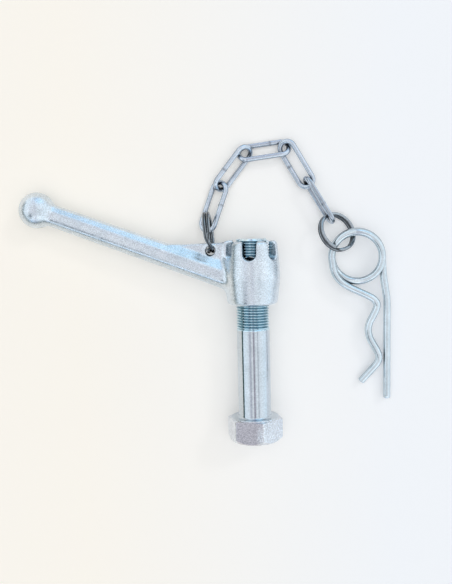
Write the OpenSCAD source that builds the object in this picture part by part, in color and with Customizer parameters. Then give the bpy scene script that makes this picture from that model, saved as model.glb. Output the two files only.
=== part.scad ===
// Hitch pin lock: hex bolt, castellated handle nut, and a hairpin clip tethered to the nut by
// a split ring, five chain links and a second split ring.
// Millimetres. +Y runs along the bolt from under its head to its threaded end, +Z is up from the
// surface everything lies on, and the origin is the middle of the head's washer face.

/* [Bolt] */
// shank radius
shank_r = 11.1; // [6:0.05:20]
// length of the plain shank
plain_length = 59; // [20:0.5:200]
// length under the head
bolt_length = 119.8; // [60:0.5:300]
// thread pitch
thread_pitch = 1.814; // [1:0.001:3]
// hexagon across flats
head_flats = 33.3; // [20:0.1:60]
// head height
head_height = 16.2; // [6:0.1:30]
// corner of the hexagon, degrees right of straight up
head_turn = 15; // [0:1:60]
// slope of the chamfer round the head's end, degrees
head_chamfer = 45; // [10:1:60]
// cross hole diameter
cross_hole_d = 6.8; // [3:0.1:12]
// cross hole distance from the head
cross_hole_y = 105.3; // [40:0.1:280]

/* [Handle nut] */
// face nearest the head
nut_bottom = 76.5; // [20:0.5:200]
// overall nut height
nut_height = 41.9; // [20:0.1:80]
// radius at the bulge
nut_bulge_r = 18.8; // [12:0.1:30]
// crown slot width
slot_width = 8.8; // [4:0.1:12]
// crown slot depth
slot_depth = 12.3; // [5:0.1:20]
// turn of the slots against the handle
slot_turn = -4.6; // [-30:0.1:30]
// running clearance of the thread
thread_clearance = 0.06; // [0.02:0.01:0.2]

/* [Handle] */
// ball radius
ball_r = 12.1; // [6:0.1:20]
// ball distance from the bolt axis
ball_reach = 142.3; // [60:0.1:250]
// ball height along the bolt
ball_y = 141.8; // [60:0.1:250]
// where the handle's middle line meets the bolt axis
handle_root_y = 88.5; // [40:0.1:200]
// width across flats beside the ball
handle_w_ball = 14.6; // [8:0.1:25]
// width across flats at the nut
handle_w_nut = 17; // [8:0.1:30]
// turn of the handle about the bolt, down to the surface
handle_droop = -2.74; // [-20:0.01:20]
// web thickness
web_t = 5; // [2:0.1:10]
// eyelet hole diameter
eyelet_d = 6; // [3:0.1:12]
// eyelet distance from the bolt axis
eyelet_reach = 27.2; // [20:0.1:60]
// eyelet height along the bolt
eyelet_y = 112.4; // [60:0.1:160]

/* [Split rings] */
// wire diameter
ring_wire = 2.5; // [1:0.1:5]
// outside diameter
ring_od = 28; // [15:0.5:60]
// space between the two coils
ring_gap = 0.04; // [0.02:0.01:0.5]

/* [Chain] */
// wire diameter
link_wire = 3.5; // [1.5:0.1:8]
// outside length
link_length = 37.4; // [15:0.1:80]
// outside width
link_width = 14; // [8:0.5:40]

/* [Hairpin clip] */
// wire diameter
clip_wire = 5; // [2:0.1:8]
// radius of the coil's middle line
coil_r = 16.75; // [8:0.05:40]
// rise of one turn of the coil
coil_pitch = 5.1; // [2:0.05:10]
// length of the straight leg below the coil's middle
leg_length = 98.8; // [40:0.1:200]
// how far the straight leg steps out from the coil
leg_step = 3.2; // [0:0.1:10]

/* [Hidden] */
$fn = 96;

thread_depth = 0.6134 * thread_pitch;
thread_count = floor((bolt_length - plain_length) / thread_pitch) - 1;
nut_top = nut_bottom + nut_height;
bore_r = shank_r + thread_clearance;
ring_r = (ring_od - ring_wire) / 2;
ring_rise = (ring_wire + ring_gap) / 2;
link_bow_r = (link_width - link_wire) / 2;
link_half = (link_length - link_width) / 2;
handle_run = sqrt(pow(ball_reach, 2) + pow(ball_y - handle_root_y, 2));
handle_angle = atan2(ball_y - handle_root_y, ball_reach);

// where each loose piece lies: x, y, z, heading, pitch and roll
ring_1_pose = [-28.2, 124.2, -4.9, 96.2, -0.5, 86.8];
link_poses = [[-24.5, 141.2, -14.4, 69.9, -0.2, -31.3],
              [-10.8, 166.4, -13.4, 51.6, 2.5, 39],
              [10.1, 177.6, -14.2, 7, -0.2, -34.3],
              [31.7, 168.1, -12.7, -59.8, 0.3, 27.3],
              [46.4, 143.8, -11.9, -59.5, 0.3, 81]];
ring_2_pose = [57.9, 122.3, -8.9, 131.8, -0.7, 37.8];
clip_pose = [71.4, 105.7, -10.4, -0.2, 9, 3.9];

module place(p) {
    translate([p[0], p[1], p[2]]) rotate([0, 0, p[3]]) rotate([0, -p[4], 0]) rotate([p[5], 0, 0])
        children();
}

// turns a piece made along +Z into one along +Y, seen from above
module along_bolt() {
    rotate([-90, 0, 0]) children();
}

// ---------------------------------------------------------------- bolt
module bolt_turned() {
    ridge = [for (i = [0 : thread_count]) let (z = plain_length + 0.8 + i * thread_pitch)
             each [[shank_r - thread_depth, z], [shank_r, z + thread_pitch / 2]]];
    last = plain_length + 0.8 + (thread_count + 1) * thread_pitch;
    rotate_extrude()
        polygon(concat([[0, -1], [shank_r, -1], [shank_r, plain_length]],
                       ridge,
                       [[shank_r - thread_depth, min(last, bolt_length - 0.6)],
                        [shank_r - thread_depth - 0.4, bolt_length], [0, bolt_length]]));
}

module hex_head() {
    corner = head_flats / 2 / cos(30);
    intersection() {
        translate([0, 0, -head_height])
            rotate([0, 0, head_turn - 90])
                cylinder(r = corner, h = head_height - 0.5, $fn = 6);
        translate([0, 0, -head_height])
            rotate_extrude()
                polygon([[0, 0], [head_flats / 2 - 0.4, 0],
                         [corner + 0.1, (corner + 0.5 - head_flats / 2) * tan(head_chamfer)],
                         [corner + 0.1, head_height], [0, head_height]]);
    }
    translate([0, 0, -0.6])
        cylinder(r = head_flats / 2 - 0.7, h = 0.6);
}

module bolt() {
    color([0.72, 0.76, 0.8])
        along_bolt()
            difference() {
                union() {
                    bolt_turned();
                    hex_head();
                }
                translate([0, 0, cross_hole_y])
                    rotate([0, 0, slot_turn + handle_droop])
                        rotate([90, 0, 0])
                            cylinder(d = cross_hole_d, h = 3 * shank_r, center = true);
            }
}

// ---------------------------------------------------------------- handle nut
module nut_blank() {
    translate([0, 0, nut_bottom])
        rotate_extrude()
            polygon([[0, 0], [14.8, 0], [16.3, 0.9], [17, 3], [18.2, 12], [nut_bulge_r, 16.6],
                     [nut_bulge_r, 21.8], [17.4, nut_height - 6], [17, nut_height - 2],
                     [15.4, nut_height], [0, nut_height]]);
}

module nut_slots() {
    for (k = [0 : 2])
        rotate([0, 0, slot_turn + 60 * k])
            translate([0, 0, nut_top - slot_depth + slot_width / 2]) {
                rotate([90, 0, 0])
                    cylinder(d = slot_width, h = 60, center = true);
                translate([-slot_width / 2, -30, 0])
                    cube([slot_width, 60, slot_depth]);
            }
}

module handle_bar() {
    translate([0, handle_root_y, 0])
        rotate([0, 0, 180 - handle_angle])
            rotate([0, 90, 0])
                rotate([0, 0, 22.5])
                    cylinder(r1 = handle_w_nut / 2 / cos(22.5), r2 = handle_w_ball / 2 / cos(22.5),
                             h = handle_run, $fn = 8);
    translate([-ball_reach, ball_y, 0])
        sphere(r = ball_r);
}

module web() {
    root_y = eyelet_y - 17;
    translate([0, 0, -web_t / 2])
        linear_extrude(height = web_t)
            polygon([[-13.5, root_y - 5], [-13.5, eyelet_y + 5.3], [-53, eyelet_y + 4.6], [-59, eyelet_y - 1]]);
    // thicker land around the eyelet
    translate([-eyelet_reach, eyelet_y - 0.6, 0])
        cylinder(d = eyelet_d + 4.4, h = web_t + 0.6, center = true);
}

module handle_nut() {
    color([0.78, 0.82, 0.86])
        rotate([0, handle_droop, 0])
            difference() {
                union() {
                    along_bolt() nut_blank();
                    handle_bar();
                    web();
                }
                along_bolt()
                    translate([0, 0, nut_bottom - 20])
                        cylinder(r = bore_r, h = nut_height + 40);
                along_bolt()
                    translate([0, 0, nut_bottom - 0.01])
                        cylinder(r1 = bore_r + 1.2, r2 = bore_r, h = 1.21);
                along_bolt() nut_slots();
                translate([-eyelet_reach, eyelet_y, 0])
                    cylinder(d = eyelet_d, h = 2 * web_t, center = true);
            }
}

// round wire along a middle line that stays close to level
module wire(line, d) {
    n = len(line);
    m = 12;
    dirs = [for (i = [0 : n - 1])
            let (v = line[min(i + 1, n - 1)] - line[max(i - 1, 0)]) v / norm(v)];
    points = [for (i = [0 : n - 1], k = [0 : m - 1])
              let (side = cross(dirs[i], [0, 0, 1]) / norm(cross(dirs[i], [0, 0, 1])),
                   rise = cross(side, dirs[i]))
              line[i] + d / 2 * (cos(360 * k / m) * side + sin(360 * k / m) * rise)];
    tube = [for (i = [0 : n - 2], k = [0 : m - 1])
            [i * m + k, i * m + (k + 1) % m, (i + 1) * m + (k + 1) % m, (i + 1) * m + k]];
    polyhedron(points, concat([[for (k = [m - 1 : -1 : 0]) k]], tube,
                              [[for (k = [0 : m - 1]) (n - 1) * m + k]]));
}

// ---------------------------------------------------------------- split rings
// two coils, one climbing over to the other across the gap left between the cut ends
ring_line = [for (a = [32 : 8 : 688])
             let (f = min(max((a - 336) / 48, 0), 1))
             [ring_r * cos(a), ring_r * sin(a), ring_rise * (6 * f * f - 4 * f * f * f - 1)]];

module split_ring_nut_end() {
    color([0.5, 0.54, 0.58])
        place(ring_1_pose)
            rotate([0, 0, 120]) wire(ring_line, ring_wire);
}

module split_ring_clip_end() {
    color([0.5, 0.54, 0.58])
        place(ring_2_pose)
            rotate([0, 0, 150]) wire(ring_line, ring_wire);
}

// ---------------------------------------------------------------- chain
module link() {
    for (side = [0, 180])
        rotate([0, 0, side]) {
            translate([link_half, 0, 0])
                rotate([0, 0, -90])
                    rotate_extrude(angle = 180)
                        translate([link_bow_r, 0])
                            circle(d = link_wire);
            translate([-link_half, link_bow_r, 0])
                rotate([0, 90, 0])
                    cylinder(d = link_wire, h = 2 * link_half);
        }
}

module chain_link(i) {
    color([0.7, 0.75, 0.8])
        place(link_poses[i - 1])
            link();
}

module chain_link_1() {
    chain_link(1);
}

module chain_link_2() {
    chain_link(2);
}

module chain_link_3() {
    chain_link(3);
}

module chain_link_4() {
    chain_link(4);
}

module chain_link_5() {
    chain_link(5);
}

// ---------------------------------------------------------------- hairpin clip
// middle line of the wavy leg, from the coil's left side down to the tip
wavy_leg = [[-16, -6.5, 5.1], [-14.3, -12, 5], [-10.4, -17, 4.9], [-4.7, -20.8, 4.7], [1.9, -24, 4.5],
            [7.3, -26.6, 4.3], [11.2, -29.1, 4.1], [13.2, -32.4, 3.9], [12.4, -36.5, 3.7], [10.3, -41.1, 3.5],
            [8.2, -45.6, 3.2], [7.4, -50.6, 3], [8.4, -55.9, 2.8], [10.8, -60.8, 2.6], [13.3, -65.4, 2.4],
            [14.5, -69.7, 2.2], [13.2, -74, 2], [9.2, -79.1, 1.8], [5.8, -83.1, 1.6], [2.6, -86.9, 1.4]];

// a point of the curve through p1 and p2, a share f of the way
function blend(p0, p1, p2, p3, f) =
    0.5 * (2 * p1 + (p2 - p0) * f + (2 * p0 - 5 * p1 + 4 * p2 - p3) * f * f
           + (3 * p1 - p0 - 3 * p2 + p3) * f * f * f);

function smooth(p, n) =
    [for (i = [0 : len(p) - 2], j = [0 : n - 1])
        blend(p[max(i - 1, 0)], p[i], p[i + 1], p[min(i + 2, len(p) - 1)], j / n),
     p[len(p) - 1]];

coil_line = [for (a = [12 : 12 : 540])
             [coil_r * cos(a), coil_r * sin(a), coil_pitch * min(max((a - 90) / 360, 0), 1)]];
leg_line = smooth([[coil_r + leg_step, -leg_length, 0], [coil_r + leg_step, -leg_length * 0.55, 0],
                   [coil_r + leg_step, -32, 0], [coil_r + leg_step - 0.7, -25, 0],
                   [coil_r + 0.8, -13, 0], [coil_r, 0, 0]], 3);
clip_line = concat(leg_line, coil_line, smooth(wavy_leg, 3));

module r_clip() {
    color([0.74, 0.79, 0.84])
        place(clip_pose)
            wire(clip_line, clip_wire);
}

bolt();
handle_nut();
split_ring_nut_end();
chain_link_1();
chain_link_2();
chain_link_3();
chain_link_4();
chain_link_5();
split_ring_clip_end();
r_clip();
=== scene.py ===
"""Hitch pin lock: the look of the bolt, handle nut, split rings, chain and hairpin clip.

Shapes are worked out in millimetres in the CAD's frame and handed to Blender in metres.
"""

import math

import bpy
import numpy as np
from mathutils import Matrix, Vector


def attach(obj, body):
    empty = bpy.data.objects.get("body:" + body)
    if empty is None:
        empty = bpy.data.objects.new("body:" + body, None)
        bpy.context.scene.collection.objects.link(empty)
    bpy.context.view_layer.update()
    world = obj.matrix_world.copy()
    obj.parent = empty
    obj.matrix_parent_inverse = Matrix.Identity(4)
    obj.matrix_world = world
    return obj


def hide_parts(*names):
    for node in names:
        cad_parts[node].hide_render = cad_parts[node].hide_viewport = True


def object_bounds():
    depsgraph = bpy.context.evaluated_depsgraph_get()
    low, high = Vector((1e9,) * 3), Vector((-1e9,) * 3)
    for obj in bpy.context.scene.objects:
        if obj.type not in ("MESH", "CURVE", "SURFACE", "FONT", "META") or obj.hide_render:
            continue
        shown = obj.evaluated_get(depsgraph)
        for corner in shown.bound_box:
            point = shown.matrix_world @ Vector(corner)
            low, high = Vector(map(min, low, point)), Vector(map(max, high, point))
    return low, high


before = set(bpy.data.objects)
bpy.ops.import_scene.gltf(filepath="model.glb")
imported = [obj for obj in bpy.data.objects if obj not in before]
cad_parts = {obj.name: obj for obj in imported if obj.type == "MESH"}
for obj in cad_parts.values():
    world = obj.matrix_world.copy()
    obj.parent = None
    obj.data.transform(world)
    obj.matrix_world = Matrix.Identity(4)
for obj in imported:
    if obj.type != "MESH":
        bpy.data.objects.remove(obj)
cad_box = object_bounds()
MM = 0.001

# ---- sizes shared with the CAD, in mm, and how finely each shape is cut
SHANK_R = 11.1
PLAIN_LENGTH = 59.0
BOLT_LENGTH = 119.8
PITCH = 1.814
THREAD_DEPTH = 0.6134 * PITCH
THREAD_CLEAR = 0.04
THREAD_STEPS = 12
THREAD_END_CUT = 1.35
END_FACE_CUT = 1.5
SHANK_CLEAR = 0.03
HEAD_FLATS = 33.3
HEAD_HEIGHT = 16.2
HEAD_END_INSET = 0.5
HEAD_CORNER_BLUNT = 0.25
CHAMFER_START = 0.1
WASHER_RISE = 0.6
WASHER_INSET = 0.7
HEAD_BACK_CUT = 0.35
HEAD_BACK_SLOPE = 0.162
HEAD_TURN = 15.0
# painted reflections: dark streaks along the shank where its plating reflects the room; degrees round
# from the top, half width, strength
PAINTED_STREAKS = (
    (-15.0, 3.5, 0.25), (-1.5, 1.6, 1.0), (2.0, 1.2, 0.5), (12.0, 2.0, 0.2), (58.0, 3.0, 0.12),
)
FILLET = 1.5
CROSS_HOLE_R = 3.4
CROSS_HOLE_Y = 105.3
NUT_BOTTOM = 76.5
NUT_HEIGHT = 41.9
NUT_TOP = NUT_BOTTOM + NUT_HEIGHT
BORE_R = 11.16
SLOT_W = 8.8
SLOT_DEPTH = 12.3
SLOT_TURN = -4.6
SLOT_REACH = 21.5
BALL_R = 12.1
BALL_REACH = 142.3
BALL_Y = 141.8
HANDLE_ROOT_Y = 88.5
HANDLE_DROOP = -2.74
EYELET_R = 3.0
EYELET = (-27.2, 112.4)
WEB_HALF = 2.45
LAND_R = 5.0
LAND_HALF = 2.8
RING_WIRE_R = 1.25
RING_R = 12.75
RING_RISE = 1.27
RING_SIDES = 24
# where the split ring's wire starts and stops, where it climbs, and the step, all in degrees round
RING_START = 32
RING_STOP = 688.5
RING_CLIMB = 336
RING_CLIMB_LENGTH = 48
RING_STEP = 2.0
LINK_WIRE_R = 1.75
LINK_BOW_R = 5.25
LINK_HALF = 11.7
LINK_SIDES = 32
LINK_STEPS = 33
LINK_CLEAR = 0.02
WELD_HALF = 0.9
# the lowest that a link lying on the table may reach
TABLE_Z = -18.93
# where along each link its butt weld sits, and on which bar
WELDS = ((2.5, -1), (-4.0, 1), (5.0, 1), (-1.0, -1), (3.0, 1))
CLIP_WIRE_R = 2.5
CLIP_SIDES = 40
CLIP_CLEAR = 0.05
CLIP_END_BEVEL = 0.3
COIL_R = 16.75
COIL_PITCH = 5.1
LEG_LENGTH = 98.8
LEG_STEP = 3.2
BOLT_SIDES = 288

# ---- studio and camera
CREAM = (0.90, 0.865, 0.80)
PALE_BLUE = (0.835, 0.86, 0.895)
FLOOR_SPAN = (-0.12, 0.10)
SOFT_BOX = 0.83
FLOOR_GLOW = 0.25
BACKDROP = (0.86, 0.87, 0.89)
LENS = 50.24
ROLL = math.radians(1.47)
TILT = math.radians(6.44)
CAMERA_AT = (-0.01601, 0.14545, 0.539)
KEY_FROM = (0.56, 0.50, 0.66)
KEY_SPREAD = 9.0
KEY_ENERGY = 0.20

# where each loose piece lies: x, y, z, heading, pitch and roll
RING_1_POSE = (-28.2, 124.2, -4.9, 96.2, -0.5, 86.8)
LINK_POSES = (
    (-24.5, 141.2, -14.4, 69.9, -0.2, -31.3),
    (-10.8, 166.4, -13.4, 51.6, 2.5, 39),
    (10.1, 177.6, -14.2, 7, -0.2, -34.3),
    (31.7, 168.1, -12.7, -59.8, 0.3, 27.3),
    (46.4, 143.8, -11.9, -59.5, 0.3, 81),
)
RING_2_POSE = (57.9, 122.3, -8.9, 131.8, -0.7, 37.8)
CLIP_POSE = (71.4, 105.7, -10.4, -0.2, 9, 3.9)
WAVY_LEG = (
    (-16, -6.5, 5.1), (-14.3, -12, 5), (-10.4, -17, 4.9), (-4.7, -20.8, 4.7), (1.9, -24, 4.5),
    (7.3, -26.6, 4.3), (11.2, -29.1, 4.1), (13.2, -32.4, 3.9), (12.4, -36.5, 3.7), (10.3, -41.1, 3.5),
    (8.2, -45.6, 3.2), (7.4, -50.6, 3), (8.4, -55.9, 2.8), (10.8, -60.8, 2.6), (13.3, -65.4, 2.4),
    (14.5, -69.7, 2.2), (13.2, -74, 2), (9.2, -79.1, 1.8), (5.8, -83.1, 1.6), (2.6, -86.9, 1.4),
)


# ---- meshes
def make_object(name, verts, faces, normals=None, painted_light_and_marks=None):
    """An object from numpy arrays: verts in mm, faces a list of index arrays of one width each."""
    mesh = bpy.data.meshes.new(name)
    loops = np.concatenate([np.asarray(f).ravel() for f in faces]).astype(np.int32)
    widths = np.concatenate([np.full(len(f), np.asarray(f).shape[1]) for f in faces])
    starts = np.concatenate([[0], np.cumsum(widths)[:-1]]).astype(np.int32)
    mesh.vertices.add(len(verts))
    mesh.vertices.foreach_set("co", (np.asarray(verts) * MM).astype(np.float32).ravel())
    mesh.loops.add(len(loops))
    mesh.loops.foreach_set("vertex_index", loops)
    mesh.polygons.add(len(starts))
    mesh.polygons.foreach_set("loop_start", starts)
    mesh.update(calc_edges=True)
    mesh.validate()
    mesh.polygons.foreach_set("use_smooth", np.ones(len(mesh.polygons), bool))
    if painted_light_and_marks is not None:
        set_mark(mesh, painted_light_and_marks)
    if normals is not None:
        mesh.normals_split_custom_set_from_vertices(normals.tolist())
    obj = bpy.data.objects.new(name, mesh)
    bpy.context.scene.collection.objects.link(obj)
    return obj


def set_mark(mesh, values):
    """Where the material shows its second colour, from 0 to 1 at each vertex: painted light, or real
    marks.
    """
    data = mesh.attributes.new("painted_light_and_marks", "FLOAT", "POINT")
    data.data.foreach_set("value", np.asarray(values, np.float32))


def place(points, pose):
    """Points of a loose piece moved to where it lies, as the CAD's place() does."""
    x, y, z, heading, pitch, roll = pose
    turn = (
        Matrix.Rotation(math.radians(heading), 3, "Z")
        @ Matrix.Rotation(math.radians(-pitch), 3, "Y")
        @ Matrix.Rotation(math.radians(roll), 3, "X")
    )
    return np.asarray(points) @ np.array(turn).T + (x, y, z)


def grid_faces(rows, cols, close_rows=False):
    """Quads over a grid of points whose columns go round."""
    i = np.arange(rows if close_rows else rows - 1)[:, None]
    k = np.arange(cols)[None, :]
    a = i * cols + k
    b = i * cols + (k + 1) % cols
    c = ((i + 1) % rows) * cols + (k + 1) % cols
    d = ((i + 1) % rows) * cols + k
    return np.stack([a, b, c, d], -1).reshape(-1, 4)


def sweep(line, radius, sides, up, closed=False, cut=0.12):
    """A round wire along a line: points, faces. Open ends are flat with a small bevel."""
    line = np.asarray(line, float)
    radius = np.broadcast_to(np.asarray(radius, float), (len(line),)).copy()
    if closed:
        dirs = np.roll(line, -1, 0) - np.roll(line, 1, 0)
    else:
        dirs = np.gradient(line, axis=0)
    dirs /= np.linalg.norm(dirs, axis=1)[:, None]
    if not closed:
        ends = []
        for end, sign in ((0, -1), (-1, 1)):
            ends.append((line[end] + sign * dirs[end] * cut, dirs[end], radius[end] - cut))
        line = np.vstack([ends[0][0], line, ends[1][0]])
        dirs = np.vstack([ends[0][1], dirs, ends[1][1]])
        radius = np.concatenate([[ends[0][2]], radius, [ends[1][2]]])
    side = np.cross(dirs, up)
    side /= np.linalg.norm(side, axis=1)[:, None]
    rise = np.cross(side, dirs)
    a = np.arange(sides) / sides * 2 * np.pi
    ring = np.cos(a)[None, :, None] * side[:, None] + np.sin(a)[None, :, None] * rise[:, None]
    verts = (line[:, None] + radius[:, None, None] * ring).reshape(-1, 3)
    faces = [grid_faces(len(line), sides, closed)]
    if not closed:
        rim = np.arange(sides)
        faces += [rim[::-1][None], ((len(line) - 1) * sides + rim)[None]]
    return verts, faces


def smooth_line(points, n):
    """A curve through the points, n steps to a span."""
    p = np.asarray(points, float)
    out = []
    for i in range(len(p) - 1):
        p0, p1, p2, p3 = p[max(i - 1, 0)], p[i], p[i + 1], p[min(i + 2, len(p) - 1)]
        for f in np.arange(n) / n:
            slope = (p2 - p0) * f
            bend = (2 * p0 - 5 * p1 + 4 * p2 - p3) * f**2
            twist = (3 * p1 - p0 - 3 * p2 + p3) * f**3
            out.append(0.5 * (2 * p1 + slope + bend + twist))
    out.append(p[-1])
    return np.array(out)


# ---- chain, rings, clip
def link_line():
    """The middle of a link's wire, once round: bow, bar, bow, bar."""
    bow = np.radians(np.linspace(-90, 90, LINK_STEPS))
    bar = np.linspace(LINK_HALF, -LINK_HALF, LINK_STEPS)[1:-1]
    c, s = np.cos(bow), np.sin(bow)
    return np.vstack([
        np.c_[LINK_HALF + LINK_BOW_R * c, LINK_BOW_R * s, 0 * c],
        np.c_[bar, 0 * bar + LINK_BOW_R, 0 * bar],
        np.c_[-LINK_HALF - LINK_BOW_R * c, -LINK_BOW_R * s, 0 * c],
        np.c_[-bar, 0 * bar - LINK_BOW_R, 0 * bar],
    ])


def build_link(index, pose, weld_at, weld_side, rng):
    line = link_line()
    # the butt weld on one bar, a little proud and lumpy
    away = line[:, 0] - weld_at
    near = np.exp(-((away / WELD_HALF) ** 2)) * (weld_side * line[:, 1] > LINK_BOW_R / 2)
    verts, faces = sweep(line, LINK_WIRE_R - LINK_CLEAR, LINK_SIDES, (0, 0, 1), closed=True)
    near = np.repeat(near, LINK_SIDES)
    swell = near * (0.05 + 0.04 * rng.standard_normal(len(verts)))
    centre = np.repeat(line, LINK_SIDES, 0)
    verts = centre + (verts - centre) * (1 + swell)[:, None]
    scale = np.clip(near * rng.uniform(0.1, 0.9, len(verts)), 0, 1)
    # painted shade on the link's flanks, added to the weld marks
    scale = np.maximum(scale, flank_shade(line, verts, LINK_SIDES, LINK_WIRE_R, 0.5))
    # flattened by a hair where it rests on the table
    points = place(verts, pose)
    points[:, 2] = np.maximum(points[:, 2], TABLE_Z)
    obj = make_object(f"link_{index}", points, faces, painted_light_and_marks=scale)
    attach(obj, f"chain_link_{index}")
    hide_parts(f"chain_link_{index}")
    paint(obj, "zinc_chain")


def flank_shade(line, verts, sides, radius, most):
    """How much painted shade each point of a swept wire gets: more towards its flanks, none on its two
    crests.
    """
    spare = (len(verts) // sides - len(line)) // 2
    middle = np.repeat(np.pad(line[:, 2], spare, "edge"), sides)
    return most * np.clip(1.2 - 2.0 * np.abs(verts[:, 2] - middle) / radius, 0, 1)


def build_ring(name, pose, turn, node):
    a = np.arange(RING_START, RING_STOP, RING_STEP)
    f = np.clip((a - RING_CLIMB) / RING_CLIMB_LENGTH, 0, 1)
    lift = RING_RISE * (6 * f * f - 4 * f**3 - 1)
    t = np.radians(a + turn)
    line = np.c_[RING_R * np.cos(t), RING_R * np.sin(t), lift]
    verts, faces = sweep(line, RING_WIRE_R, RING_SIDES, (0, 0, 1))
    # painted shade on the flanks and between the two coils; the crests keep the steel's own colour
    height = verts[:, 2]
    gap_shade = np.clip(1 - np.abs(height) / (0.42 * RING_WIRE_R), 0, 1)
    painted_light_and_marks = np.maximum(gap_shade, flank_shade(line, verts, RING_SIDES, RING_WIRE_R, 1.0))
    obj = make_object(name, place(verts, pose), faces, painted_light_and_marks=painted_light_and_marks)
    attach(obj, node)
    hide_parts(node)
    paint(obj, "ring_steel")


def build_clip():
    leg_x = COIL_R + LEG_STEP
    leg = smooth_line(
        [(leg_x, -LEG_LENGTH, 0), (leg_x, -LEG_LENGTH * 0.55, 0), (leg_x, -32, 0),
         (leg_x - 0.7, -25, 0), (COIL_R + 0.8, -13, 0), (COIL_R, 0, 0)], 12)
    # one and a half turns, climbing over the middle one
    a = np.arange(2, 540.5, 2.0)
    t = np.radians(a)
    climb = COIL_PITCH * np.clip((a - 90) / 360, 0, 1)
    coil = np.c_[COIL_R * np.cos(t), COIL_R * np.sin(t), climb]
    line = np.vstack([leg, coil, smooth_line(WAVY_LEG, 10)])
    wire_r = CLIP_WIRE_R - CLIP_CLEAR
    verts, faces = sweep(line, wire_r, CLIP_SIDES, (0, 0, 1), cut=CLIP_END_BEVEL)
    # painted shade on the wire's flanks
    painted_light_and_marks = flank_shade(line, verts, CLIP_SIDES, CLIP_WIRE_R, 0.85)
    obj = make_object("clip_wire", place(verts, CLIP_POSE), faces, painted_light_and_marks=painted_light_and_marks)
    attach(obj, "r_clip")
    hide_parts("r_clip")
    paint(obj, "zinc_wire")


# ---- bolt
def bolt_rows(a):
    """Rings of the bolt at the angles a, from the head's end to the thread's: height and radius."""
    rows = []

    def ring(y, r):
        rows.append([np.broadcast_to(v, a.shape).astype(float) for v in (y, r)])

    corner = HEAD_FLATS / 2 / math.cos(math.pi / 6)
    from_corner = np.abs((a + math.pi / 6) % (math.pi / 3) - math.pi / 6)
    hexagon = HEAD_FLATS / 2 / np.cos(math.pi / 6 - from_corner)
    hexagon = np.minimum(hexagon, corner - HEAD_CORNER_BLUNT)

    # the flat end, and the chamfer that climbs from it to the corners at 45 degrees
    bottom = -HEAD_HEIGHT
    face_r = HEAD_FLATS / 2 - HEAD_END_INSET
    for r in (1.0, 4.0, 8.0, 12.0, face_r - 0.6, face_r - 0.15):
        ring(bottom, r)
    for share in (0.0, 0.03, 0.06, 0.5, 0.94, 0.97, 1.0):
        reach = face_r + (hexagon - face_r) * share
        ring(bottom + CHAMFER_START + reach - face_r, reach)
    # the six faces
    low = bottom + CHAMFER_START + hexagon - face_r
    high = -WASHER_RISE - HEAD_BACK_CUT
    for share in (0.04, 0.12, 0.2, 0.3, 0.4, 0.5, 0.6, 0.7, 0.8, 0.9, 0.97):
        ring(low + (high - low) * share, hexagon)
    # under the head: the hexagon's back, the washer face and the fillet
    under = HEAD_FLATS / 2 - WASHER_INSET
    for share in (0.0, 0.1, 0.9, 1.0):
        reach = hexagon + (under + HEAD_BACK_CUT - hexagon) * share
        ring(-WASHER_RISE - HEAD_BACK_SLOPE * (reach - under), reach)
    ring(-0.55, under + 0.1)
    ring(-0.1, under)
    ring(0.0, under - 0.12)
    ring(0.0, SHANK_R + FILLET + 0.2)
    plain_r = SHANK_R - SHANK_CLEAR
    for f in np.linspace(0, math.pi / 2, 7):
        ring(0.001 + FILLET * (1 - math.cos(f)), plain_r + FILLET * (1 - math.sin(f)))
    for y in np.linspace(3, PLAIN_LENGTH - 0.5, 90):
        ring(y, plain_r)
    # rolled thread: it fades in and is chamfered at the end
    crest = SHANK_R - THREAD_CLEAR
    for y in np.arange(PLAIN_LENGTH, BOLT_LENGTH - 0.02, PITCH / THREAD_STEPS):
        phase = (y / PITCH + a / (2 * np.pi)) % 1.0
        depth = THREAD_DEPTH * np.clip((np.abs(phase * 2 - 1) - 0.2) / 0.6, 0.0, 1.0)
        fade = min(max((y - PLAIN_LENGTH - 0.3) / 1.6, 0.0), 1.0)
        ring(y, np.minimum(crest - depth * fade, crest - THREAD_END_CUT + (BOLT_LENGTH - y)))
    end_r = SHANK_R - END_FACE_CUT
    for r in (end_r, end_r - 0.3, 6.0, 2.0):
        ring(BOLT_LENGTH, r)
    return rows


def bolt_painted_light(spots):
    """Where the bolt is painted: shade in the thread roots, one face of the head painted darker with a
    painted highlight by its edge, and painted reflections as streaks along the shank.
    """
    height = spots[:, 1]
    around = np.degrees(np.arctan2(spots[:, 0], spots[:, 2]))
    grain = np.random.default_rng(11).uniform(0.3, 1.0, len(spots))

    # painted shade: the thread a little darker all along, and darker still the deeper into its roots
    deep = (SHANK_R - 0.1 - np.hypot(spots[:, 0], spots[:, 2])) / THREAD_DEPTH
    threaded = (height > PLAIN_LENGTH + 0.4) & (height < BOLT_LENGTH - 1.3)
    painted_light_and_marks = np.where(threaded, 0.12 + 0.88 * np.clip(deep, 0, 1) ** 1.5, 0)

    # one face of the head is painted darker, as shade, with a painted highlight by its edge; the rest
    # of the head takes some of the darker colour
    past_edge = around - HEAD_TURN
    shaded_face = np.clip((past_edge + 61) / 2, 0, 1) * np.clip((-1 - past_edge) / 2, 0, 1)
    painted_highlight = np.exp(-(((past_edge + 6) / 6) ** 2) - ((height + 10) / 5) ** 2)
    face = (0.4 + 0.6 * shaded_face) * np.clip(1 - 1.8 * painted_highlight * grain, 0, 1)
    painted_light_and_marks = np.where(height < -0.5, face, painted_light_and_marks)

    # painted reflections as dark streaks along the plain shank
    plain = (height > 1.5) & (height < PLAIN_LENGTH - 0.6)
    for middle, width, depth in PAINTED_STREAKS:
        painted_streak = depth * np.exp(-(((around - middle) / width) ** 2)) * grain
        painted_light_and_marks = np.where(plain, np.maximum(painted_light_and_marks, painted_streak), painted_light_and_marks)
    return painted_light_and_marks


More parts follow.
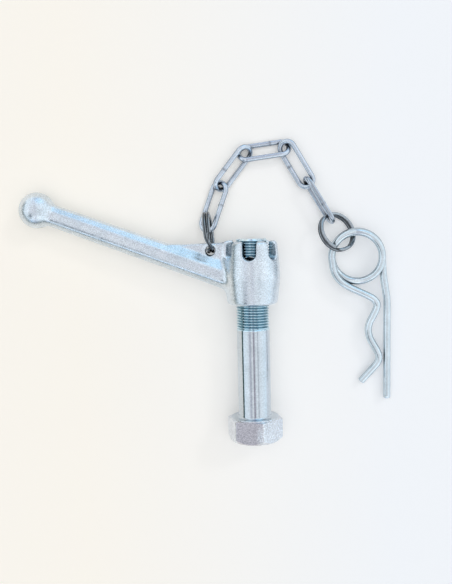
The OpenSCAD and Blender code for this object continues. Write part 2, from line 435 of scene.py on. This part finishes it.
def build_bolt():
    # columns pack a little closer to the hexagon's corners
    a = np.arange(BOLT_SIDES) / BOLT_SIDES * 2 * np.pi
    a = a - 0.1 * np.sin(6 * a) / 6
    rows = bolt_rows(a)
    turned = a + math.radians(HEAD_TURN)
    verts = [np.c_[r * np.sin(turned), y, r * np.cos(turned)] for y, r in rows]
    verts = np.vstack(verts + [[[0, -HEAD_HEIGHT, 0], [0, BOLT_LENGTH, 0]]])
    # a fan of triangles closes each end
    k = np.arange(BOLT_SIDES)
    beside = (k + 1) % BOLT_SIDES
    last = (len(rows) - 1) * BOLT_SIDES
    bottom_i, top_i = len(verts) - 2, len(verts) - 1
    faces = [
        grid_faces(len(rows), BOLT_SIDES),
        np.stack([k, np.full(BOLT_SIDES, bottom_i), beside], -1),
        np.stack([last + k, last + beside, np.full(BOLT_SIDES, top_i)], -1),
    ]
    obj = make_object("bolt_steel", verts, faces)
    drill_cross_hole(obj)
    obj.data.set_sharp_from_angle(angle=math.radians(32))
    spots = np.empty(len(obj.data.vertices) * 3, np.float32)
    obj.data.vertices.foreach_get("co", spots)
    set_mark(obj.data, bolt_painted_light(spots.reshape(-1, 3) / MM))
    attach(obj, "bolt")
    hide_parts("bolt")

    # three finishes along the bolt: head, plain shank, thread
    paint(obj, "zinc_bolt", "zinc_head", "zinc_thread")
    middles = np.empty(len(obj.data.polygons) * 3, np.float32)
    obj.data.polygons.foreach_get("center", middles)
    height = middles[1::3] / MM
    zone = np.where(height < -0.3, 1, np.where(height > PLAIN_LENGTH + 0.2, 2, 0))
    obj.data.polygons.foreach_set("material_index", zone.astype(np.int32))


def drill_cross_hole(obj):
    azimuth = math.radians(SLOT_TURN + HANDLE_DROOP)
    bpy.ops.mesh.primitive_cylinder_add(
        vertices=64, radius=CROSS_HOLE_R * MM, depth=40 * MM, location=(0, CROSS_HOLE_Y * MM, 0),
        rotation=(0, azimuth, 0))
    drill = bpy.context.active_object
    cut = obj.modifiers.new("cross_hole", "BOOLEAN")
    cut.operation = "DIFFERENCE"
    cut.solver = "EXACT"
    cut.object = drill
    bpy.context.view_layer.objects.active = obj
    bpy.ops.object.modifier_apply(modifier=cut.name)
    bpy.data.objects.remove(drill)


# ---- handle nut, as one smooth solid found from a distance field
def smooth_max(a, b, k):
    h = np.clip(k - np.abs(a - b), 0, None) / k
    return np.maximum(a, b) + h * h * k * 0.25


def smooth_min(a, b, k):
    return -smooth_max(-a, -b, k)


ARM_ANGLE = math.atan2(BALL_Y - HANDLE_ROOT_Y, BALL_REACH)
ARM_DIR = np.array([-math.cos(ARM_ANGLE), math.sin(ARM_ANGLE)])
ARM_UP = np.array([math.sin(ARM_ANGLE), math.cos(ARM_ANGLE)])
ARM_RUN = math.hypot(BALL_REACH, BALL_Y - HANDLE_ROOT_Y)
ARM_HALF = 8.5
ARM_TAPER = 1.2
# the nut's outline: height above its face, and radius
NUT_Y = (0, 1.2, 3, 8, 13, 16.6, 19, 22, 29, 36, 39, 41.9)
NUT_R = (16.2, 16.75, 17.1, 17.7, 18.25, 18.6, 18.72, 18.68, 18.15, 17.5, 17.25, 16.9)


def nut_field(x, y, z):
    """Rough signed distance to the handle nut, in its own frame: handle along -X, bolt along +Y."""
    r = np.hypot(x, z)
    h = y - NUT_BOTTOM
    shell = r - np.interp(h, NUT_Y, NUT_R)
    body = smooth_max(shell, -h, 1.6)
    body = smooth_max(body, h - NUT_HEIGHT, 3.0)

    # eight-sided bar with a ball on its end, thinner towards the ball
    along = x * ARM_DIR[0] + (y - HANDLE_ROOT_Y) * ARM_DIR[1]
    side = x * ARM_UP[0] + (y - HANDLE_ROOT_Y) * ARM_UP[1]
    across = np.abs(side)
    deep = np.abs(z)
    half = ARM_HALF - ARM_TAPER * np.clip(along / ARM_RUN, 0, 1)
    bar = smooth_max(across, deep, 1.5)
    bar = smooth_max(bar, (across + deep) * 0.7071, 1.6) - half
    bar = smooth_max(bar, along - ARM_RUN, 1.0)
    bar = smooth_max(bar, 8.0 - along, 1.0)
    ball = np.sqrt((x + BALL_REACH) ** 2 + (y - BALL_Y) ** 2 + z * z) - BALL_R
    handle = smooth_min(bar, ball, 2.2)

    # web between the handle and the crown, with a straight top edge
    top = y - (EYELET[1] + 5.2 + 0.018 * (x + 13.5))
    tail = (y - 111.0) * 0.6 - (x + 57.5) * 0.8
    plate = smooth_max(deep - WEB_HALF, top, 2.0)
    plate = smooth_max(plate, tail, 2.0)
    plate = smooth_max(plate, x + 12.5, 1.0)
    plate = smooth_max(plate, -side, 1.0)
    land = np.hypot(x - EYELET[0], y - EYELET[1] + 0.6) - LAND_R
    land = smooth_max(land, deep - LAND_HALF, 1.4)
    plate = smooth_min(plate, land, 1.0)
    handle = smooth_min(handle, plate, 3.5)
    solid = smooth_min(body, handle, 3.5)

    # crown slots
    floor = NUT_TOP - SLOT_DEPTH + SLOT_W / 2
    for k in range(3):
        t = math.radians(SLOT_TURN + 60 * k)
        u = np.abs(x * math.cos(t) - z * math.sin(t))
        wide = SLOT_W / 2 + 0.02 * np.clip(y - floor, 0, None)
        slot = np.where(y > floor, u - wide, np.hypot(u, y - floor) - SLOT_W / 2)
        # only as far out as the teeth, so the web beyond is left whole
        slot = np.maximum(slot, r - SLOT_REACH)
        solid = smooth_max(solid, -slot, 1.3)

    # bore with its thread cut outwards
    turn = np.arctan2(x, z) / (2 * np.pi)
    wave = np.abs(((y / PITCH + turn) % 1.0) * 2 - 1)
    groove = 0.85 * np.clip(1.1 - 1.3 * wave, 0, 1)
    bore = r - BORE_R - groove
    from_end = np.minimum(np.abs(y - NUT_BOTTOM), np.abs(y - NUT_TOP))
    mouth = r - (BORE_R + 1.5) + from_end
    solid = smooth_max(solid, -bore, 0.25)
    solid = smooth_max(solid, -mouth, 0.4)
    hole = np.hypot(x - EYELET[0], y - EYELET[1]) - EYELET_R
    solid = smooth_max(solid, -hole, 1.0)
    return solid


def field_gradient(p, e=0.04):
    g = np.empty_like(p)
    for axis in range(3):
        d = np.zeros(3)
        d[axis] = e
        g[:, axis] = (nut_field(*(p + d).T) - nut_field(*(p - d).T)) / (2 * e)
    return g


def surface_of(low, high, step):
    """Quads on the zero of nut_field, one vertex to each cell that it crosses."""
    axes = [np.arange(lo, hi + step, step) for lo, hi in zip(low, high)]
    n = [len(v) for v in axes]
    value = np.empty(n, np.float32)
    for i in range(0, n[0], 16):
        gx, gy, gz = np.meshgrid(axes[0][i:i + 16], axes[1], axes[2], indexing="ij")
        value[i:i + 16] = nut_field(gx, gy, gz)
    inside = value < 0
    cells = np.zeros([m - 1 for m in n], np.uint8)
    corners = [(i, j, k) for i in (0, 1) for j in (0, 1) for k in (0, 1)]
    for i, j, k in corners:
        cells += inside[i:n[0] - 1 + i, j:n[1] - 1 + j, k:n[2] - 1 + k]
    crossed = (cells > 0) & (cells < 8)
    index = np.full(cells.shape, -1, np.int64)
    where = np.argwhere(crossed)
    index[crossed] = np.arange(len(where))

    total = np.zeros((len(where), 3))
    hits = np.zeros(len(where))
    for axis in range(3):
        step_to = [0, 0, 0]
        step_to[axis] = 1
        others = [o for o in range(3) if o != axis]
        for a in (0, 1):
            for b in (0, 1):
                base = [0, 0, 0]
                base[others[0]], base[others[1]] = a, b
                p0 = where + base
                p1 = p0 + step_to
                v0 = value[tuple(p0.T)].astype(float)
                v1 = value[tuple(p1.T)].astype(float)
                cross = (v0 < 0) != (v1 < 0)
                share = np.where(cross, v0 / np.where(cross, v0 - v1, 1), 0)
                point = p0 + share[:, None] * step_to
                total += point * cross[:, None]
                hits += cross
    verts = total / hits[:, None] * step + np.array([v[0] for v in axes])

    faces = []
    for axis in range(3):
        sl0 = [slice(None)] * 3
        sl1 = [slice(None)] * 3
        sl0[axis], sl1[axis] = slice(0, -1), slice(1, None)
        a_in, b_in = inside[tuple(sl0)], inside[tuple(sl1)]
        edge = np.argwhere(a_in != b_in)
        edge = edge[(edge[:, (axis + 1) % 3] > 0) & (edge[:, (axis + 2) % 3] > 0)]
        flip = a_in[tuple(edge.T)]
        u, v = np.zeros(3, int), np.zeros(3, int)
        u[(axis + 1) % 3], v[(axis + 2) % 3] = 1, 1
        quad = np.stack([index[tuple((edge - d).T)] for d in (u + v, v, np.zeros(3, int), u)], -1)
        quad[~flip] = quad[~flip][:, ::-1]
        faces.append(quad)
    return verts, np.vstack(faces)


NUT_LOW = (-155.5, 75.6, -20.0)
NUT_HIGH = (19.8, 155.0, 20.0)
NUT_CELL = 0.42


def build_handle_nut():
    verts, faces = surface_of(NUT_LOW, NUT_HIGH, NUT_CELL)
    # pull the vertices onto the true surface
    for _ in range(4):
        g = field_gradient(verts)
        move = nut_field(*verts.T) / np.maximum((g * g).sum(1), 0.2)
        verts = verts - np.clip(move, -0.4, 0.4)[:, None] * g
    g = field_gradient(verts)
    normals = g / np.linalg.norm(g, axis=1)[:, None]
    turn = np.array(Matrix.Rotation(math.radians(HANDLE_DROOP), 3, "Y"))
    # painted shade inside the bore and the eyelet
    x, y, z = verts.T
    inside = np.clip((BORE_R + 1.1 - np.hypot(x, z)) / 0.5, 0, 1)
    eyelet_shade = np.clip((EYELET_R + 0.6 - np.hypot(x - EYELET[0], y - EYELET[1])) / 0.4, 0, 1)
    obj = make_object("nut_forging", verts @ turn.T, [faces], normals=normals @ turn.T,
                      painted_light_and_marks=np.maximum(inside, eyelet_shade))
    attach(obj, "handle_nut")
    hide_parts("handle_nut")
    paint(obj, "zinc_forging")


# ---- materials
def new_material(name):
    material = bpy.data.materials.new(name)
    material.use_nodes = True
    nodes, links = material.node_tree.nodes, material.node_tree.links
    shader = nodes["Principled BSDF"]
    return material, nodes, links, shader


def noise(nodes, links, coords, scale, detail, rough):
    texture = nodes.new("ShaderNodeTexNoise")
    texture.inputs["Scale"].default_value = scale
    texture.inputs["Detail"].default_value = detail
    texture.inputs["Roughness"].default_value = rough
    links.new(coords.outputs["Object"], texture.inputs["Vector"])
    return texture.outputs["Fac"]


def ramp(nodes, links, source, low, high, start=0.3, end=0.7):
    node = nodes.new("ShaderNodeValToRGB")
    node.color_ramp.elements[0].position = start
    node.color_ramp.elements[1].position = end
    node.color_ramp.elements[0].color = (*low, 1)
    node.color_ramp.elements[1].color = (*high, 1)
    links.new(source, node.inputs["Fac"])
    return node.outputs["Color"]


def spread(nodes, links, source, low, high, start=0.3, end=0.7):
    node = nodes.new("ShaderNodeMapRange")
    node.inputs["From Min"].default_value = start
    node.inputs["From Max"].default_value = end
    node.inputs["To Min"].default_value = low
    node.inputs["To Max"].default_value = high
    links.new(source, node.inputs["Value"])
    return node.outputs["Result"]


def zinc(name, dark, light, rough, bump, grain, painted_light_and_marks, fleck, reach, shade, blotch=(90.0, 0.3, 0.7)):
    """Zinc-plated steel: cloudy colour and gloss, a fine grain under the plate, painted shade in the
    nooks.

    dark and light are the clouds' colours and blotch their scale and limits, mark is the colour
    painted where each vertex asks for it (painted shade, painted highlights, painted reflections and
    real weld marks), fleck how much the flecks vary, and nooks closer than reach get painted shade,
    down to shade.
    """
    material, nodes, links, shader = new_material(name)
    coords = nodes.new("ShaderNodeTexCoord")
    shader.inputs["Metallic"].default_value = 1.0
    scale, start, end = blotch
    colour = ramp(nodes, links, noise(nodes, links, coords, scale, 5.0, 0.65), dark, light, start, end)
    gloss = spread(nodes, links, noise(nodes, links, coords, 260.0, 4.0, 0.7), *rough)
    links.new(gloss, shader.inputs["Roughness"])

    relief = nodes.new("ShaderNodeBump")
    relief.inputs["Strength"].default_value = bump
    relief.inputs["Distance"].default_value = 0.0004
    links.new(noise(nodes, links, coords, grain, 6.0, 0.75), relief.inputs["Height"])
    links.new(relief.outputs["Normal"], shader.inputs["Normal"])

    # the mark attribute puts on the second colour: painted shade, painted highlights and painted
    # reflections, and real weld marks
    spot = nodes.new("ShaderNodeAttribute")
    spot.attribute_name = "painted_light_and_marks"
    marked = nodes.new("ShaderNodeMix")
    marked.data_type = "RGBA"
    marked.inputs["B"].default_value = (*painted_light_and_marks, 1)
    links.new(spot.outputs["Fac"], marked.inputs["Factor"])
    links.new(colour, marked.inputs["A"])

    # bright and dull flecks of the plate, and painted shade in the nooks
    speck = noise(nodes, links, coords, 1150.0, 2.0, 0.5)
    flecks = spread(nodes, links, speck, 1.0 - fleck, 1.0 + fleck, 0.38, 0.62)
    # painted shade: ambient occlusion darkens the colour in nooks, between parts and near the floor
    nook = nodes.new("ShaderNodeAmbientOcclusion")
    nook.samples = 6
    nook.inputs["Distance"].default_value = reach
    nook_shade = spread(nodes, links, nook.outputs["AO"], shade, 1.0, 0.15, 0.85)
    scaled = nodes.new("ShaderNodeVectorMath")
    scaled.operation = "SCALE"
    links.new(marked.outputs["Result"], scaled.inputs["Vector"])
    links.new(combine(nodes, links, "MULTIPLY", flecks, nook_shade), scaled.inputs["Scale"])
    links.new(scaled.outputs["Vector"], shader.inputs["Base Color"])
    return material


def combine(nodes, links, operation, a, b=None):
    node = nodes.new("ShaderNodeMath")
    node.operation = operation
    links.new(a, node.inputs[0])
    if b is not None:
        links.new(b, node.inputs[1])
    return node.outputs["Value"]


# In each finish, mark is the colour put on by the mark attribute: painted shade in the thread roots,
# on one face of the head, in the nut's bore and eyelet, on the wires' flanks and between the ring's
# coils, painted reflections as streaks on the shank, and the chain's weld marks.
FINISHES = {
    "zinc_bolt": dict(
        dark=(0.54, 0.60, 0.65), light=(0.64, 0.70, 0.76), rough=(0.05, 0.10), bump=0.07, grain=450.0,
        painted_light_and_marks=(0.17, 0.14, 0.18), fleck=0.07, reach=0.003, shade=0.75),
    "zinc_thread": dict(
        dark=(0.60, 0.74, 0.82), light=(0.72, 0.86, 0.93), rough=(0.07, 0.14), bump=0.07, grain=450.0,
        painted_light_and_marks=(0.16, 0.33, 0.41), fleck=0.12, reach=0.003, shade=0.85),
    "zinc_head": dict(
        dark=(0.70, 0.76, 0.82), light=(0.90, 0.96, 1.00), rough=(0.10, 0.30), bump=0.25, grain=900.0,
        painted_light_and_marks=(0.58, 0.57, 0.615), fleck=0.16, reach=0.003, shade=0.5, blotch=(330.0, 0.36, 0.66)),
    "zinc_forging": dict(
        dark=(0.60, 0.67, 0.73), light=(0.74, 0.80, 0.86), rough=(0.20, 0.32), bump=0.12, grain=1400.0,
        painted_light_and_marks=(0.10, 0.13, 0.16), fleck=0.11, reach=0.004, shade=0.72),
    "zinc_chain": dict(
        dark=(0.50, 0.56, 0.64), light=(0.66, 0.73, 0.82), rough=(0.08, 0.16), bump=0.08, grain=900.0,
        painted_light_and_marks=(0.16, 0.17, 0.19), fleck=0.06, reach=0.006, shade=0.12),
    "zinc_wire": dict(
        dark=(0.58, 0.66, 0.71), light=(0.72, 0.80, 0.85), rough=(0.06, 0.12), bump=0.04, grain=700.0,
        painted_light_and_marks=(0.15, 0.20, 0.23), fleck=0.04, reach=0.0035, shade=0.25),
    "ring_steel": dict(
        dark=(0.30, 0.33, 0.36), light=(0.44, 0.48, 0.52), rough=(0.06, 0.13), bump=0.06, grain=900.0,
        painted_light_and_marks=(0.015, 0.017, 0.02), fleck=0.08, reach=0.003, shade=0.25),
}


def paint(obj, *names):
    obj.data.materials.clear()
    for name in names:
        obj.data.materials.append(finishes[name])


# ---- build
finishes = {name: zinc(name, **finish) for name, finish in FINISHES.items()}
rng = np.random.default_rng(7)
build_bolt()
build_handle_nut()
build_ring("ring_nut_end", RING_1_POSE, 120, "split_ring_nut_end")
build_ring("ring_clip_end", RING_2_POSE, 150, "split_ring_clip_end")
for i, (pose, weld) in enumerate(zip(LINK_POSES, WELDS)):
    build_link(i + 1, pose, *weld, rng)
build_clip()


# ---- floor, light, camera
def build_floor():
    """Plain paper, a little creamier to the left and bluer to the right."""
    lowest = min(cad_box[0][2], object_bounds()[0][2])
    bpy.ops.mesh.primitive_plane_add(size=6.0, location=(0.0, 0.08, lowest - 0.0002))
    floor = bpy.context.active_object
    floor.name = "floor"
    paper, nodes, links, shader = new_material("floor_paper")
    shader.inputs["Roughness"].default_value = 0.75
    coords = nodes.new("ShaderNodeTexCoord")
    axes = nodes.new("ShaderNodeSeparateXYZ")
    links.new(coords.outputs["Object"], axes.inputs["Vector"])
    across = spread(nodes, links, axes.outputs["X"], 0.0, 1.0, *FLOOR_SPAN)
    tint = ramp(nodes, links, across, CREAM, PALE_BLUE, 0.0, 1.0)
    links.new(tint, shader.inputs["Base Color"])
    links.new(tint, shader.inputs["Emission Color"])
    shader.inputs["Emission Strength"].default_value = FLOOR_GLOW
    floor.data.materials.append(paper)


# The room as the metal sees it. Spots: direction, inner and outer angle in degrees, colour.
SPOTS = (
    ((-0.36, -0.20, 0.91), 2.0, 7.0, (0.75, 0.75, 0.78)),
    ((-0.52, -0.50, 0.69), 8.0, 14.0, (0.15, 0.17, 0.19)),
    ((0.29, -0.75, 0.60), 9.0, 15.0, (1.35, 1.33, 1.30)),
    ((0.35, -0.93, 0.05), 3.0, 6.0, (0.12, 0.13, 0.14)),
    ((-0.25, -0.68, 0.69), 6.0, 13.0, (1.25, 1.25, 1.24)),
    ((0.50, 0.42, 0.75), 5.0, 15.0, (1.30, 1.30, 1.30)),
    ((0.30, 0.90, 0.30), 12.0, 30.0, (0.86, 1.05, 1.18)),
    ((-0.35, -0.90, 0.06), 14.0, 26.0, (1.02, 1.13, 1.28)),
)
# The room's light from low to overhead.
SKY_LOW = (0.98, 1.10, 1.18)
SKY_MIDDLE = (1.04, 1.10, 1.14)
SKY_MIDDLE_AT = 0.62
SKY_TOP = (0.92, 0.93, 0.95)
# Stripes along the bolt's direction: degrees from overhead towards +X, half width, soft edge, colour.
STRIPES = (
    (-2.0, 3.5, 4.5, (0.72, 0.70, 0.75)),
    (-13.5, 2.5, 4.0, (1.10, 1.08, 1.06)),
    (14.0, 2.5, 4.0, (1.08, 1.10, 1.10)),
    (27.8, 1.5, 2.5, (0.68, 0.69, 0.72)),
    (-29.0, 4.0, 4.0, (0.82, 0.81, 0.85)),
)
# The dark edge of the room, from the west round to the south: height where it starts, height
# where it is full, and its colour.
ROOM_EDGE = (0.24, 0.16, (0.02, 0.06, 0.055))
EDGE_SIDE = (-0.75, -0.66, 0.0)


def tinted(nodes, links, light, share, colour):
    """Light times a colour where share is 1."""
    mix = nodes.new("ShaderNodeMix")
    mix.data_type = "RGBA"
    mix.inputs["A"].default_value = (1, 1, 1, 1)
    mix.inputs["B"].default_value = (*colour, 1)
    links.new(share, mix.inputs["Factor"])
    product = nodes.new("ShaderNodeVectorMath")
    product.operation = "MULTIPLY"
    links.new(light, product.inputs[0])
    links.new(mix.outputs["Result"], product.inputs[1])
    return product.outputs["Vector"]


def along(nodes, links, way, direction):
    dot = nodes.new("ShaderNodeVectorMath")
    dot.operation = "DOT_PRODUCT"
    dot.inputs[1].default_value = np.array(direction) / np.linalg.norm(direction)
    links.new(way, dot.inputs[0])
    return dot.outputs["Value"]


def soft_step(nodes, links, value, zero_at, one_at):
    step = nodes.new("ShaderNodeMapRange")
    step.interpolation_type = "SMOOTHSTEP"
    step.inputs["From Min"].default_value = zero_at
    step.inputs["From Max"].default_value = one_at
    links.new(value, step.inputs["Value"])
    return step.outputs["Result"]


def build_room():
    world = bpy.data.worlds.new("studio")
    world.use_nodes = True
    nodes, links = world.node_tree.nodes, world.node_tree.links
    background = nodes["Background"]
    coords = nodes.new("ShaderNodeTexCoord")
    way = coords.outputs["Generated"]
    parts = nodes.new("ShaderNodeSeparateXYZ")
    links.new(way, parts.inputs["Vector"])
    sky = nodes.new("ShaderNodeValToRGB")
    stops = sky.color_ramp.elements
    stops[0].position, stops[0].color = 0.0, (*SKY_LOW, 1)
    stops[1].position, stops[1].color = 1.0, (*SKY_TOP, 1)
    stops.new(SKY_MIDDLE_AT).color = (*SKY_MIDDLE, 1)
    links.new(parts.outputs["Z"], sky.inputs["Fac"])
    light = sky.outputs["Color"]
    for direction, inner, outer, colour in SPOTS:
        edges = [math.cos(math.radians(angle)) for angle in (outer, inner)]
        share = soft_step(nodes, links, along(nodes, links, way, direction), *edges)
        light = tinted(nodes, links, light, share, colour)
    for tilt, half, soft, colour in STRIPES:
        t = math.radians(tilt)
        dot = along(nodes, links, way, (math.cos(t), 0.0, -math.sin(t)))
        off = combine(nodes, links, "ABSOLUTE", dot)
        edges = [math.sin(math.radians(angle)) for angle in (half + soft, half)]
        share = soft_step(nodes, links, off, *edges)
        light = tinted(nodes, links, light, share, colour)
    top, bottom, colour = ROOM_EDGE
    low = soft_step(nodes, links, parts.outputs["Z"], top, bottom)
    side = soft_step(nodes, links, along(nodes, links, way, EDGE_SIDE), 0.0, 0.35)
    light = tinted(nodes, links, light, combine(nodes, links, "MULTIPLY", low, side), colour)
    links.new(light, background.inputs["Color"])

    # the floor is lit evenly from above by the soft box
    plain = nodes.new("ShaderNodeBackground")
    square = combine(nodes, links, "MULTIPLY", parts.outputs["Z"], parts.outputs["Z"])
    fourth = combine(nodes, links, "MULTIPLY", square, square)
    overhead = spread(nodes, links, fourth, 0.08 * SOFT_BOX, 2.96 * SOFT_BOX, 0.0, 1.0)
    links.new(overhead, plain.inputs["Strength"])
    ray = nodes.new("ShaderNodeLightPath")
    choose = nodes.new("ShaderNodeMixShader")
    links.new(ray.outputs["Is Diffuse Ray"], choose.inputs["Fac"])
    links.new(background.outputs["Background"], choose.inputs[1])
    links.new(plain.outputs["Background"], choose.inputs[2])
    # behind the floor's far edge the camera sees a plain pale backdrop
    backdrop = nodes.new("ShaderNodeBackground")
    backdrop.inputs["Color"].default_value = (*BACKDROP, 1)
    seen = nodes.new("ShaderNodeMixShader")
    links.new(ray.outputs["Is Camera Ray"], seen.inputs["Fac"])
    links.new(choose.outputs["Shader"], seen.inputs[1])
    links.new(backdrop.outputs["Background"], seen.inputs[2])
    links.new(seen.outputs["Shader"], nodes["World Output"].inputs["Surface"])
    bpy.context.scene.world = world


def build_key_light():
    sun = bpy.data.lights.new("key", "SUN")
    sun.energy = KEY_ENERGY
    sun.angle = math.radians(KEY_SPREAD)
    lamp = bpy.data.objects.new("key", sun)
    lamp.visible_glossy = False
    lamp.rotation_mode = "QUATERNION"
    lamp.rotation_quaternion = Vector(KEY_FROM).to_track_quat("Z", "Y")
    bpy.context.scene.collection.objects.link(lamp)


def build_camera():
    north = np.array([math.sin(ROLL), math.cos(ROLL), 0.0])
    right = np.array([math.cos(ROLL), -math.sin(ROLL), 0.0])
    down = np.array([0.0, 0.0, -1.0])
    forward = -math.sin(TILT) * north + math.cos(TILT) * down
    up = math.cos(TILT) * north + math.sin(TILT) * down
    data = bpy.data.cameras.new("camera")
    data.lens = LENS
    data.sensor_width = 36.0
    data.clip_start = 0.01
    data.clip_end = 20.0
    camera = bpy.data.objects.new("camera", data)
    bpy.context.scene.collection.objects.link(camera)
    place_at = Matrix.Translation(CAMERA_AT)
    camera.matrix_world = place_at @ Matrix([*zip(right, up, -forward)]).to_4x4()
    bpy.context.scene.camera = camera


build_floor()
build_room()
build_key_light()
build_camera()
bpy.context.scene.view_settings.view_transform = "Standard"
